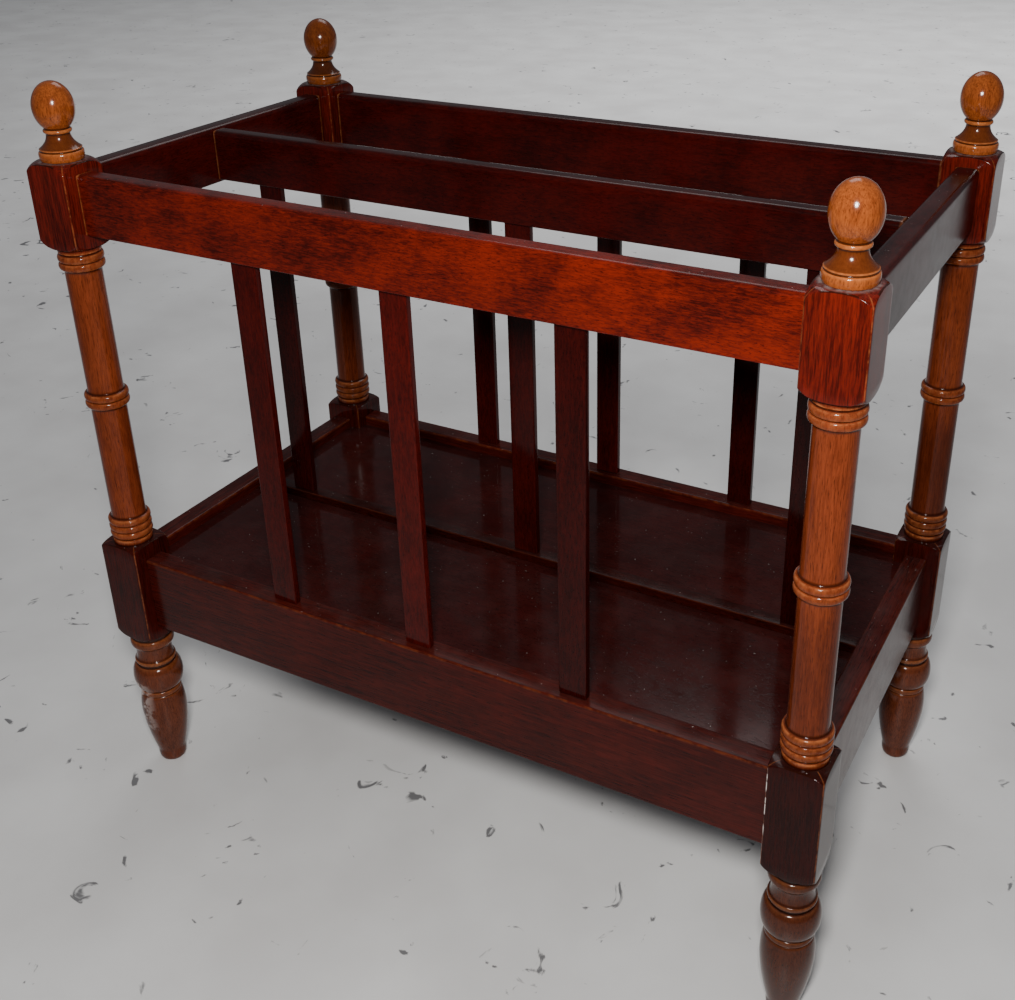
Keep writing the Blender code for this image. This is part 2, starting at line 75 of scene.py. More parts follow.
backward = Vector((sin(AZIMUTH) * cos(ELEVATION), -cos(AZIMUTH) * cos(ELEVATION), sin(ELEVATION)))
lens = bpy.data.cameras.new("camera")
lens.lens = FOCAL_LENGTH
lens.sensor_width = SENSOR_WIDTH
lens.shift_x = SHIFT_ACROSS
lens.shift_y = SHIFT_UP
camera = bpy.data.objects.new("camera", lens)
camera.location = LOOK_AT + backward * DISTANCE
upright = backward.to_track_quat("Z", "Y")
camera.rotation_mode = "QUATERNION"
camera.rotation_quaternion = upright @ Matrix.Rotation(ROLL, 3, "Z").to_quaternion()
bpy.context.scene.collection.objects.link(camera)
bpy.context.scene.camera = camera
print("camera at", [round(value, 3) for value in camera.location], "metres")

# %% [markdown]
# ## Floor and light
# A pale painted floor with a few scuffs runs far past the view, so no edge of it shows. A small soft
# lamp just above the camera gives the crisp sparks on the turned wood and the shadows that fall behind
# the rails. A second lamp lights the floor beyond the rack, and a third with a dim, even surround fills
# the rest, so that the back of the rack can be seen too.

# %% Floor
def link_nodes(tree, *pairs):
    """Links sockets given as (from, to) pairs."""
    for source, target in pairs:
        tree.links.new(source, target)


def new_material(name):
    """A material with a Principled shader, and its node tree."""
    material = bpy.data.materials.new(name)
    material.use_nodes = True
    return material, material.node_tree, material.node_tree.nodes["Principled BSDF"]


def noise_ramp(tree, vector, scale, detail, distortion, low, high):
    """A noise texture turned into colour; low and high are (value, colour) pairs."""
    noise = tree.nodes.new("ShaderNodeTexNoise")
    noise.inputs["Scale"].default_value = scale
    noise.inputs["Detail"].default_value = detail
    noise.inputs["Distortion"].default_value = distortion
    ramp = tree.nodes.new("ShaderNodeValToRGB")
    for element, (value, colour) in zip(ramp.color_ramp.elements, (low, high)):
        element.position = value
        element.color = (*colour, 1)
    link_nodes(tree, (vector, noise.inputs["Vector"]), (noise.outputs["Fac"], ramp.inputs["Fac"]))
    return ramp.outputs["Color"]


FLOOR_HALF = 9
PAINT_DULL, PAINT_CLEAN = (0.56, 0.55, 0.545), (0.64, 0.635, 0.63)
NO_SCUFF, SCUFF = (1, 1, 1), (0.24, 0.24, 0.25)

floor_paint, tree, shader = new_material("floor_paint")
shader.inputs["Roughness"].default_value = 0.42
place = tree.nodes.new("ShaderNodeTexCoord").outputs["Object"]
paint = noise_ramp(tree, place, 9, 6, 0, (0.35, PAINT_DULL), (0.65, PAINT_CLEAN))
scuffs = noise_ramp(tree, place, 38, 5, 1.5, (0.675, NO_SCUFF), (0.71, SCUFF))
scuffed = tree.nodes.new("ShaderNodeMix")
scuffed.data_type = "RGBA"
scuffed.blend_type = "MULTIPLY"
scuffed.inputs["Factor"].default_value = 1
link_nodes(tree, (paint, scuffed.inputs["A"]), (scuffs, scuffed.inputs["B"]),
           (scuffed.outputs["Result"], shader.inputs["Base Color"]))
bpy.ops.mesh.primitive_plane_add(size=2 * FLOOR_HALF)
floor = bpy.context.object
floor.name = "floor"
floor.data.materials.append(floor_paint)
print(f"a floor {2 * FLOOR_HALF} m wide, as part of the stage")

# %% Lamps
def add_lamp(name, place, target, width, power, spread=180, colour=(1, 1, 1)):
    """A square soft lamp that faces its target; spread is the full angle of its beam, in degrees."""
    lamp = bpy.data.lights.new(name, "AREA")
    lamp.size = width
    lamp.energy = power
    lamp.color = colour
    lamp.spread = radians(spread)
    stand = bpy.data.objects.new(name, lamp)
    stand.location = place
    stand.rotation_euler = (Vector(target) - Vector(place)).to_track_quat("-Z", "Y").to_euler()
    bpy.context.scene.collection.objects.link(stand)
    print(f"{name}: {power} W, {width} m wide")


RACK_MIDDLE = (0, 0, 0.28)
BESIDE_LENS = camera.location + Vector((-0.03, 0, 0.08))
WARM_WHITE = (1, 0.98, 0.95)
add_lamp("lamp_near_camera", BESIDE_LENS, RACK_MIDDLE, 0.10, 10, colour=WARM_WHITE)
add_lamp("lamp_far_floor", (0.2, 2.2, 2.9), (-1.0, 3.6, 0), 1.4, 92, spread=130)
add_lamp("lamp_behind", (-0.5, 1.2, 2.0), RACK_MIDDLE, 1.0, 11)

surround = bpy.data.worlds.new("surround")
surround.use_nodes = True
bpy.context.scene.world = surround
air = surround.node_tree.nodes["Background"]
air.inputs["Color"].default_value = (0.90, 0.94, 1.0, 1)
air.inputs["Strength"].default_value = 0.17

# %% [markdown]
# ## The wood under the lacquer
# The whole rack is one stained hardwood: fine streaks along the grain, short dark pores, and broad
# soft clouds of lighter and darker stain. Every finish needs these, so they are one node group. It works
# in grain space: a Mapping node in each finish squeezes the coordinates so that 1 is the width of one
# streak across the board and its length along it, and the group then only has to make noise.

# %% Node group: grain
def new_group(name, inputs, outputs):
    """An empty shader node group with float or vector inputs and float outputs."""
    group = bpy.data.node_groups.new(name, "ShaderNodeTree")
    for label, kind, default in inputs:
        socket = group.interface.new_socket(label, in_out="INPUT", socket_type=kind)
        if default is not None:
            socket.default_value = default
    for label, kind in outputs:
        group.interface.new_socket(label, in_out="OUTPUT", socket_type=kind)
    return group, group.nodes.new("NodeGroupInput"), group.nodes.new("NodeGroupOutput")


def add_noise(tree, vector, scale, detail, roughness=0.5, distortion=0.0):
    """A noise texture on the given coordinates; gives its value socket."""
    noise = tree.nodes.new("ShaderNodeTexNoise")
    noise.inputs["Scale"].default_value = scale
    noise.inputs["Detail"].default_value = detail
    noise.inputs["Roughness"].default_value = roughness
    noise.inputs["Distortion"].default_value = distortion
    tree.links.new(vector, noise.inputs["Vector"])
    return noise.outputs["Fac"]


def stretch(tree, value, low, high, to_low=0.0, to_high=1.0):
    """Maps a range of a value smoothly onto another range."""
    ramp = tree.nodes.new("ShaderNodeMapRange")
    ramp.interpolation_type = "SMOOTHSTEP"
    tree.links.new(value, ramp.inputs["Value"])
    ramp.inputs["From Min"].default_value = low
    ramp.inputs["From Max"].default_value = high
    ramp.inputs["To Min"].default_value = to_low
    ramp.inputs["To Max"].default_value = to_high
    return ramp.outputs["Result"]


def calculate(tree, operation, first, second, clamp=False):
    """A Math node; each side is a socket or a number."""
    node = tree.nodes.new("ShaderNodeMath")
    node.operation = operation
    node.use_clamp = clamp
    for index, side in enumerate((first, second)):
        if isinstance(side, (int, float)):
            node.inputs[index].default_value = side
        else:
            tree.links.new(side, node.inputs[index])
    return node.outputs["Value"]


def point_value(tree, name):
    """The value that a mesh stores at each point under this name, or 0 on a mesh that stores none."""
    node = tree.nodes.new("ShaderNodeAttribute")
    node.attribute_name = name
    return node.outputs["Fac"]


FLECK_SHARE, LINE_SHARE, BROAD_SHARE = 0.50, 0.30, 0.20

grain, sockets_in, sockets_out = new_group(
    "grain",
    [("Vector", "NodeSocketVector", None), ("Pore Amount", "NodeSocketFloat", 1.0)],
    [("Streaks", "NodeSocketFloat"), ("Pores", "NodeSocketFloat"), ("Height", "NodeSocketFloat")])
vector = sockets_in.outputs["Vector"]
flecks = stretch(grain, add_noise(grain, vector, 1.0, 3, 0.65), 0.36, 0.64)
lines = stretch(grain, add_noise(grain, vector, 0.30, 3, 0.6, 0.4), 0.3, 0.7)
broad = stretch(grain, add_noise(grain, vector, 0.055, 2, 0.5, 0.6), 0.3, 0.7)
hair = add_noise(grain, vector, 1.9, 2, 0.6)
wide = calculate(grain, "ADD", calculate(grain, "MULTIPLY", lines, LINE_SHARE),
                 calculate(grain, "MULTIPLY", broad, BROAD_SHARE))
streaks = calculate(grain, "ADD", calculate(grain, "MULTIPLY", flecks, FLECK_SHARE), wide)
pores = calculate(grain, "MULTIPLY", stretch(grain, hair, 0.57, 0.66), sockets_in.outputs["Pore Amount"])
height = calculate(grain, "SUBTRACT", calculate(grain, "MULTIPLY", flecks, 0.25), pores)
link_nodes(grain, (streaks, sockets_out.inputs["Streaks"]), (pores, sockets_out.inputs["Pores"]),
           (height, sockets_out.inputs["Height"]))
print("grain group of", len(grain.nodes), "nodes")

# %% [markdown]
# ## Wear and dust
# Stain gathers in every groove and is rubbed thin on every crest and edge. Each piece stores how
# sharply its surface turns as a point attribute called `edge`: above zero on a crest, below zero in a
# groove. On the eased corners of the post blocks that value also carries a painted sheen, the light line
# that the lamp leaves on a rounded arris. This group breaks that up with noise and gives a crest mask and
# a groove mask. A second group finds the surfaces that face up, where dust settles, and the `ring` round
# a finial, where it is caught.

# %% Node groups: wear and dust
wear, sockets_in, sockets_out = new_group(
    "wear", [("Vector", "NodeSocketVector", None), ("Breakup", "NodeSocketFloat", 0.5)],
    [("Crest", "NodeSocketFloat"), ("Groove", "NodeSocketFloat")])
edge = point_value(wear, "edge")
patches = stretch(wear, add_noise(wear, sockets_in.outputs["Vector"], 260, 4, 0.6), 0.35, 0.65)
missing = calculate(wear, "MULTIPLY", patches, sockets_in.outputs["Breakup"])
thinned = calculate(wear, "SUBTRACT", 1.0, missing)
crest = calculate(wear, "MULTIPLY", stretch(wear, edge, 0.05, 0.9), thinned)
groove = stretch(wear, calculate(wear, "MULTIPLY", edge, -1.0), 0.05, 0.8)
link_nodes(wear, (crest, sockets_out.inputs["Crest"]), (groove, sockets_out.inputs["Groove"]))

dust, sockets_in, sockets_out = new_group(
    "dust", [("Vector", "NodeSocketVector", None), ("Amount", "NodeSocketFloat", 0.3)],
    [("Dust", "NodeSocketFloat")])
facing = dust.nodes.new("ShaderNodeNewGeometry")
parts = dust.nodes.new("ShaderNodeSeparateXYZ")
dust.links.new(facing.outputs["Normal"], parts.inputs["Vector"])
upward = stretch(dust, parts.outputs["Z"], 0.75, 1.0)
vector = sockets_in.outputs["Vector"]
film = stretch(dust, add_noise(dust, vector, 45, 5, 0.65), 0.3, 0.8)
thin_film = calculate(dust, "MULTIPLY", film, sockets_in.outputs["Amount"])
specks = stretch(dust, add_noise(dust, vector, 700, 1, 0.5), 0.77, 0.82, 0, 0.5)
settled = calculate(dust, "MULTIPLY", upward, calculate(dust, "MAXIMUM", thin_film, specks))
lumps = stretch(dust, add_noise(dust, vector, 300, 3), 0.3, 0.7, 0.05, 0.3)
caught = calculate(dust, "MULTIPLY", point_value(dust, "ring"), lumps)
link_nodes(dust, (calculate(dust, "MAXIMUM", settled, caught), sockets_out.inputs["Dust"]))
print("wear group of", len(wear.nodes), "nodes, dust group of", len(dust.nodes))

# %% [markdown]
# ## The finish
# Under a clear gloss lacquer, the stain varies from piece to piece: honey on the finials, chestnut on the
# shafts, red on the rails and blocks, maroon on the aprons, and near black on the tray. So one function
# mixes the finish from a light and a dark stain, and each kind of piece calls it with its own colours. A
# piece can also store where its colour is deeper: on the finial necks that is deeper stain, and on the
# lower halves of the posts it is painted shade, darker towards the bottom. It can store `chip` too,
# where the lacquer has come off.
#
# The lacquer itself is the gloss of the Principled shader, with a bump of the grain, which the lacquer
# follows only faintly. Real lacquer has an IOR of about 1.5. The values here are lower, because these
# lamps and this pale floor would otherwise lay a grey veil over the dark stain.

# %% Lacquered wood
GRAIN_WIDTH = 0.8 * MM
DUST_COLOUR = (0.42, 0.40, 0.38, 1)
CHIP_COLOUR = (0.70, 0.62, 0.58, 1)
PORE_AMOUNT = 0.7
DEEP_TONE, PORE_TONE, GROOVE_TONE = 0.4, 0.35, 0.2
GROOVE_SHARE = 0.85
DUST_ROUGHNESS = 0.5
BUMP_STRENGTH, BUMP_HEIGHT = 0.04, 0.25 * MM


def add_group(tree, group, vector, **values):
    """Places a node group on the given coordinates, with its values."""
    node = tree.nodes.new("ShaderNodeGroup")
    node.node_tree = group
    tree.links.new(vector, node.inputs["Vector"])
    for label, number in values.items():
        node.inputs[label.replace("_", " ")].default_value = number
    return node.outputs


def blend_colour(tree, share, first, second):
    """Mixes two colours, each a socket or a tuple, by a share that is a socket or a number."""
    node = tree.nodes.new("ShaderNodeMix")
    node.data_type = "RGBA"
    for label, side in (("Factor", share), ("A", first), ("B", second)):
        socket = node.inputs[label]
        if isinstance(side, bpy.types.NodeSocket):
            tree.links.new(side, socket)
        else:
            socket.default_value = side
    return node.outputs["Result"]


def toned(colour, tone):
    """A colour made lighter or darker, with the alpha that its socket needs."""
    return (*(part * tone for part in colour), 1)


def grain_space(tree, place, axis, grain_length, seed):
    """Coordinates in which 1 is the width of a streak across the grain, and its length along the grain."""
    squeeze = tree.nodes.new("ShaderNodeMapping")
    scale = [1 / GRAIN_WIDTH] * 3
    scale[axis] = 1 / grain_length
    squeeze.inputs["Scale"].default_value = scale
    squeeze.inputs["Location"].default_value = (seed * 17.3, seed * 5.1, seed * 9.7)
    tree.links.new(place, squeeze.inputs["Vector"])
    return squeeze.outputs["Vector"]


def lacquered_wood(name, axis, dark, light, worn, second=None, tone=1.0, cloud=0.14, gloss=0.10, ior=1.22,
                   dust_amount=0.02, breakup=0.6, grain_length=5 * MM, seed=0):
    """Stained wood under clear lacquer; axis is that of its grain, and blocks take the second stain."""
    material, tree, shader = new_material(name)
    place = tree.nodes.new("ShaderNodeTexCoord").outputs["Object"]
    streaked = grain_space(tree, place, axis, grain_length, seed)
    lines = add_group(tree, grain, streaked, Pore_Amount=PORE_AMOUNT)
    rubbed = add_group(tree, wear, place, Breakup=breakup)
    settled = add_group(tree, dust, place, Amount=dust_amount)["Dust"]

    clouds = stretch(tree, add_noise(tree, place, 28, 4, 0.55), 0.3, 0.7, -cloud, cloud)
    stain_share = calculate(tree, "ADD", lines["Streaks"], clouds, clamp=True)
    colour = blend_colour(tree, stain_share, toned(dark, tone), toned(light, tone))
    deepest = dark
    if second:
        red = blend_colour(tree, stain_share, toned(second["dark"], tone), toned(second["light"], tone))
        colour = blend_colour(tree, point_value(tree, "block"), colour, red)
        deepest = second["dark"]
    # Deeper stain on the finial necks, and painted shade on the lower halves of the posts
    colour = blend_colour(tree, point_value(tree, "shade"), colour, toned(deepest, tone * DEEP_TONE))
    colour = blend_colour(tree, lines["Pores"], colour, toned(dark, tone * PORE_TONE))
    colour = blend_colour(tree, rubbed["Crest"], colour, toned(worn, tone))
    gathered = calculate(tree, "MULTIPLY", rubbed["Groove"], GROOVE_SHARE)
    colour = blend_colour(tree, gathered, colour, toned(dark, tone * GROOVE_TONE))
    colour = blend_colour(tree, settled, colour, DUST_COLOUR)
    flaked = stretch(tree, add_noise(tree, place, 170, 4), 0.42, 0.56)
    bare = calculate(tree, "MULTIPLY", point_value(tree, "chip"), flaked)
    colour = blend_colour(tree, bare, colour, CHIP_COLOUR)

    smears = stretch(tree, add_noise(tree, place, 120, 3), 0.25, 0.75, gloss - 0.02, gloss + 0.03)
    roughness = calculate(tree, "ADD", calculate(tree, "MULTIPLY", settled, DUST_ROUGHNESS), smears)
    bump = tree.nodes.new("ShaderNodeBump")
    bump.inputs["Strength"].default_value = BUMP_STRENGTH
    bump.inputs["Distance"].default_value = BUMP_HEIGHT
    shader.inputs["IOR"].default_value = ior
    link_nodes(tree, (lines["Height"], bump.inputs["Height"]), (colour, shader.inputs["Base Color"]),
               (bump.outputs["Normal"], shader.inputs["Normal"]), (roughness, shader.inputs["Roughness"]))
    return material


ALONG_X, ALONG_Y, ALONG_Z = 0, 1, 2
HONEY = {"dark": (0.140, 0.028, 0.0055), "light": (0.330, 0.080, 0.0160), "worn": (0.38, 0.11, 0.028)}
CHESTNUT = {"dark": (0.080, 0.0135, 0.0045), "light": (0.175, 0.0330, 0.0105), "worn": (0.30, 0.09, 0.030)}
POST_RED = {"dark": (0.014, 0.0014, 0.0010), "light": (0.125, 0.0090, 0.0045), "worn": (0.22, 0.045, 0.016)}
RAIL_RED = {"dark": (0.030, 0.0024, 0.0015), "light": (0.140, 0.0095, 0.0038), "worn": (0.30, 0.09, 0.030)}
DEEP_RED = {"dark": (0.018, 0.0014, 0.0010), "light": (0.052, 0.0032, 0.0020), "worn": (0.22, 0.07, 0.025)}
MAROON = {"dark": (0.014, 0.0016, 0.0012), "light": (0.054, 0.0050, 0.0026), "worn": (0.15, 0.036, 0.012)}
TRAY_BROWN = {"dark": (0.018, 0.0030, 0.0026), "light": (0.030, 0.0042, 0.0036), "worn": (0.05, 0.01, 0.006)}
FOOT_BROWN = {"dark": (0.045, 0.009, 0.003), "light": (0.105, 0.024, 0.008), "worn": (0.22, 0.072, 0.024)}

print("stains for the posts, rails, aprons, tray, finials and feet are ready")

# %% [markdown]
# ## Turned pieces
# A turning is one outline spun round an axis. The posts are turned from square stock, and their blocks
# stay square where the outline runs outside the square: there the lathe never reaches. So each column
# of a post's points follows the turned outline in to the square's face, runs down the face, and comes
# off it again. A column near a corner leaves the face lower than one in its middle, and that makes
# the curved shoulders. A Boolean of a turning and a square bar gives the same shape, but leaves a hard
# arris, and here the arris gets its small round.

# %% Outline helpers
def arc(start, end, bulge, steps=9):
    """Half an ellipse from start to end, standing out by bulge, or in if it is below zero."""
    along = Vector(end) - Vector(start)
    outward = Vector((-along.y, along.x)).normalized()
    points = []
    for step in range(steps + 1):
        turn = pi * step / steps
        point = Vector(start) + along * (1 - cos(turn)) / 2 + outward * bulge * sin(turn)
        points.append((point.x, point.y))
    return points


def curve(start, first, second, end, steps=14):
    """A cubic curve, without its start."""
    controls = (start, first, second, end)
    points = []
    for step in range(1, steps + 1):
        t = step / steps
        shares = ((1 - t) ** 3, 3 * t * (1 - t) ** 2, 3 * t * t * (1 - t), t ** 3)
        spot = sum((Vector(point) * share for point, share in zip(controls, shares)), Vector((0, 0)))
        points.append(tuple(spot))
    return points


def densify(outline, longest):
    """Adds points to the long straight stretches of an outline."""
    points = [outline[0]]
    for start, end in zip(outline, outline[1:]):
        step_vector = Vector(end) - Vector(start)
        count = max(1, round(step_vector.length / longest))
        points += [tuple(Vector(start) + step_vector * step / count) for step in range(1, count + 1)]
    return points


def turning_edge(outline, spread=0.35 * MM, sharp=900.0):
    """How sharply an outline turns at each point: up to 1 on a crest and down to -1 in a groove."""
    points = np.array(outline)
    steps = np.diff(points, axis=0)
    lengths = np.hypot(*steps.T) + 1e-9
    heading = np.unwrap(np.arctan2(steps[:, 1], steps[:, 0]))
    turns = np.concatenate([[0], -np.diff(heading), [0]])
    along = np.concatenate([[0], np.cumsum(lengths)])
    weights = np.exp(-((along[:, None] - along[None, :]) / spread) ** 2 / 2)
    density = weights @ turns / (spread * (2 * pi) ** 0.5)
    return np.clip(density / sharp, -1, 1)


print(f"a half-ellipse bead has {len(arc((0, 1), (0, 0), 0.5))} points")

# %% Turned and squared meshes
ROUND_STEPS = 96
CHIPPED_SIDE = radians(205)
CHIPPED_LOW, CHIPPED_HIGH = 28 * MM, 73 * MM
CHIP_DEPTH = 0.6
DEEPENED = 0.75


def skin(name, columns, **attributes):
    """A closed mesh from columns of (x, y, z) points, which all run from top to bottom."""
    count, rows = len(columns), len(columns[0])
    mesh = bpy.data.meshes.new(name)
    faces = [(column * rows + row, column * rows + row + 1,
              (column + 1) % count * rows + row + 1, (column + 1) % count * rows + row)
             for column in range(count) for row in range(rows - 1)]
    faces.append([column * rows for column in range(count)])
    faces.append([column * rows + rows - 1 for column in reversed(range(count))])
    mesh.from_pydata([point for column in columns for point in column], [], faces)
    for label, values in attributes.items():
        store(mesh, label, np.ravel(values))
    mesh.shade_smooth()
    mesh.set_sharp_from_angle(angle=radians(40))
    return mesh


def store(mesh, label, values):
    """Writes a value for each point of a mesh, for its material to read."""
    mesh.attributes.new(label, "FLOAT", "POINT").data.foreach_set("value", np.array(values, np.float32))


def add_piece(name, mesh, place, material, slot, *nodes):
    """Puts a finished piece in the scene, on the rack's one body, in place of its CAD nodes."""
    piece = bpy.data.objects.new(name, mesh)
    piece.location = place
    bpy.context.scene.collection.objects.link(piece)
    piece.data.materials.append(material)
    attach(piece, "root")
    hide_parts(*nodes)
    return piece


def turned_mesh(name, outline, deep_high=0.0, deep_low=0.0, chipped=False):
    """A turning; its outline runs from top to bottom. Its stain is deeper between two heights."""
    columns, chips = [], []
    for step in range(ROUND_STEPS):
        turn = 2 * pi * step / ROUND_STEPS
        columns.append([(radius * cos(turn), radius * sin(turn), height) for radius, height in outline])
        towards = CHIP_DEPTH * max(0, cos(turn - CHIPPED_SIDE)) if chipped else 0
        chips += [towards if CHIPPED_LOW < height < CHIPPED_HIGH else 0 for radius, height in outline]
    shade = [DEEPENED if deep_low < height < deep_high else 0 for radius, height in outline]
    return skin(name, columns, edge=[turning_edge(outline)] * ROUND_STEPS, shade=[shade] * ROUND_STEPS,
                chip=chips)


print(f"turnings have {ROUND_STEPS} columns")

# %% [markdown]
# ## Corner posts
# Each post has an upper and a lower block, and between them a shaft with three groups of beads. The
# levels are those of the model, and the beads are half ellipses with a sharp groove between.

# %% Post sizes
post_low, post_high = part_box("post_front_left")
BLOCK_HALF = (post_high.x - post_low.x) / 2
LOWER_SEAT, UPPER_TOP = post_low.z, post_high.z
LOWER_BLOCK, UPPER_BLOCK = 73.7 * MM, 51.2 * MM
LOWER_TOP = LOWER_SEAT + LOWER_BLOCK
UPPER_SEAT = UPPER_TOP - UPPER_BLOCK
BLOCK_EASE = 1.1 * MM
CORNER_R = BLOCK_HALF * 2 ** 0.5 + 0.4 * MM
COLLAR_R = 12.6 * MM
SHAFT_R = 10.9 * MM
BEAD_R = 13.5 * MM
GROOVE_R = 12.0 * MM
BEAD_PITCH = 4.8 * MM
SHOULDER = 9 * MM
LOW_SHOULDER = 4.5 * MM
ARRIS = 0.45 * MM
SHOULDER_STEPS, FACE_ROWS = 10, 10
FACE_COLUMNS, EASE_COLUMNS = 22, 6
DUST_REACH = 2.2 * MM
MIDDLE = (LOWER_TOP + UPPER_SEAT) / 2
FADE = 30 * MM
# How much the eased corners of the blocks are lightened, as worn lacquer and as a painted sheen
CORNER_WEAR_AND_SHEEN = 0.42
CHIP_HIGH = LOWER_TOP - 5 * MM
CHIP_LOW = LOWER_SEAT + 30 * MM
print(f"blocks {BLOCK_HALF * 2 / MM:.1f} mm square, shaft {(UPPER_SEAT - LOWER_TOP) / MM:.1f} mm long")


# %% Post outline
def beads(first_crest, count):
    """Round beads with sharp grooves between them."""
    points = []
    for index in range(count):
        top = first_crest - (index - 0.5) * BEAD_PITCH
        points += arc((GROOVE_R, top), (GROOVE_R, top - BEAD_PITCH * 0.97), BEAD_R - GROOVE_R)
    return points


def shaft_outline():
    """From the collar under the upper block to the collar on the lower block."""
    top_crest = UPPER_SEAT - 6.5 * MM
    middle_crest = LOWER_TOP + 105.8 * MM
    low_crest = LOWER_TOP + 7.2 * MM + 2 * BEAD_PITCH
    fillet = [(SHAFT_R + 0.4 * MM, 0.4 * MM), (SHAFT_R + 0.1 * MM, 1.0 * MM), (SHAFT_R, 2 * MM)]
    below = [(radius, -1.5 * BEAD_PITCH - drop) for radius, drop in fillet]
    above = [(radius, BEAD_PITCH / 2 + drop) for radius, drop in reversed(fillet)]
    outline = [(COLLAR_R, UPPER_SEAT), (COLLAR_R, top_crest + 0.75 * BEAD_PITCH),
               (GROOVE_R - 0.2 * MM, top_crest + 0.6 * BEAD_PITCH), *beads(top_crest, 2)]
    outline += [(radius, top_crest + level) for radius, level in below]
    outline += [(radius, middle_crest + level) for radius, level in above]
    outline += beads(middle_crest, 2)
    outline += [(radius, middle_crest + level) for radius, level in below]
    outline += [(radius, low_crest + level) for radius, level in above]
    outline += [*beads(low_crest, 3), (GROOVE_R - 0.2 * MM, low_crest - 2.6 * BEAD_PITCH),
                (COLLAR_R, low_crest - 2.75 * BEAD_PITCH), (COLLAR_R, LOWER_TOP)]
    return densify(outline, 2 * MM)


def shoulder(seat, depth, face_r):
    """From a seat out to the square's face, which a column meets at face_r; an underside has depth < 0."""
    reach = asin((face_r - COLLAR_R) / (CORNER_R - COLLAR_R))
    width = CORNER_R - COLLAR_R
    angles = [reach * step / SHOULDER_STEPS for step in range(SHOULDER_STEPS + 1)]
    return [(COLLAR_R + width * sin(angle), seat - depth * (1 - cos(angle))) for angle in angles]


def soften(points, index):
    """Rounds the arris at one point of a column, with three points in its place."""
    corner = Vector(points[index])
    before = corner + (Vector(points[index - 1]) - corner).normalized() * ARRIS
    after = corner + (Vector(points[index + 1]) - corner).normalized() * ARRIS
    crown = before / 4 + corner / 2 + after / 4
    return points[:index] + [tuple(before), tuple(crown), tuple(after)] + points[index + 1:]


def block(top, top_depth, bottom, bottom_depth, face_r):
    """A block's column: shoulder, face and shoulder, from top to bottom."""
    upper = shoulder(top, top_depth, face_r)
    lower = shoulder(bottom, -bottom_depth, face_r)[::-1]
    start, end = upper[-1][1], lower[0][1]
    face = [(face_r, start + (end - start) * step / FACE_ROWS) for step in range(1, FACE_ROWS)]
    points = upper + face + lower
    return soften(soften(points, len(upper) + len(face)), len(upper) - 1)


def square_points():
    """Points round the square with its eased corners."""
    flat = BLOCK_HALF - BLOCK_EASE
    widest = atan2(flat, BLOCK_HALF)
    points = []
    for quarter in range(4):
        turn = Matrix.Rotation(quarter * pi / 2, 2)
        for step in range(FACE_COLUMNS):
            slant = widest * (2 * step / FACE_COLUMNS - 1)
            points.append(turn @ Vector((BLOCK_HALF, BLOCK_HALF * tan(slant))))
        for step in range(EASE_COLUMNS):
            swing = pi / 2 * step / EASE_COLUMNS
            points.append(turn @ Vector((flat + BLOCK_EASE * cos(swing), flat + BLOCK_EASE * sin(swing))))
    return points


def post_mesh(name, low_shaft_shade, low_block_shade, chipped):
    """A turned and squared post, and what its finish reads at each point.

    `block` is 1 on the blocks, painted shade darkens the lower half towards the bottom, `ring` is 1 where
    the finial stands, and `chip` is 1 on an arris that has lost its lacquer.
    """
    shaft = shaft_outline()[1:-1]
    columns, edges, blocks, shades, rings, chips = [], [], [], [], [], []
    for point in square_points():
        face_r = point.length
        upper = block(UPPER_TOP, SHOULDER, UPPER_SEAT, SHOULDER, face_r)
        lower = block(LOWER_TOP, LOW_SHOULDER, LOWER_SEAT, SHOULDER, face_r)
        outline = upper + shaft + lower
        columns.append([(*(point / face_r * radius), height) for radius, height in outline])
        on_block = np.array([1] * len(upper) + [0] * len(shaft) + [1] * len(lower))
        blocks.append(on_block)
        turned = turning_edge(outline)
        # The eased block corners are lightened both as worn lacquer and as a painted sheen where the arris
        # catches the lamp
        corner_wear_and_sheen = CORNER_WEAR_AND_SHEEN if face_r > CORNER_R - 0.9 * MM else 0
        edges.append(np.where(on_block, np.minimum(turned, 0) + corner_wear_and_sheen, turned))
        chip = chipped and corner_wear_and_sheen and max(point) < 0
        for radius, height in outline:
            # Painted shade: the lower shaft darkens towards the bottom, and the lower block is darkened all
            # over
            shaft_shade = low_shaft_shade * max(0, min(1, (MIDDLE - height) / FADE))
            shades.append(low_block_shade if height <= LOWER_TOP else shaft_shade)
            near_finial = max(0, 1 - (radius - COLLAR_R) / DUST_REACH)
            rings.append(near_finial if height > UPPER_TOP - SHOULDER else 0)
            chips.append(float(chip and CHIP_LOW < height < CHIP_HIGH))
    return skin(name, columns, edge=edges, block=blocks, ring=rings, shade=shades, chip=chips)


print(f"a post has {len(square_points())} columns round its square")

# %% Posts
# Each post: its stain tone, then how much painted shade darkens its lower shaft and its lower block
POST_STAIN_AND_SHADE = {"front_left": (0.95, 0.0, 0.62), "front_right": (0.95, 0.3, 0.85),
              "back_left": (0.65, 0.2, 0.5), "back_right": (0.8, 0.5, 0.7)}
for seed, (corner, (tone, low_shaft_shade, low_block_shade)) in enumerate(POST_STAIN_AND_SHADE.items()):
    low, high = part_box(f"post_{corner}")
    place = ((low.x + high.x) / 2, (low.y + high.y) / 2, 0)
    finish = lacquered_wood(f"post_{corner}", ALONG_Z, **CHESTNUT, second=POST_RED, tone=tone, breakup=0.9,
                            grain_length=11 * MM, seed=seed)
    mesh = post_mesh(f"turned_post_{corner}", low_shaft_shade, low_block_shade, chipped=corner == "front_right")
    add_piece(f"turned_post_{corner}", mesh, place, finish, "post", f"post_{corner}")

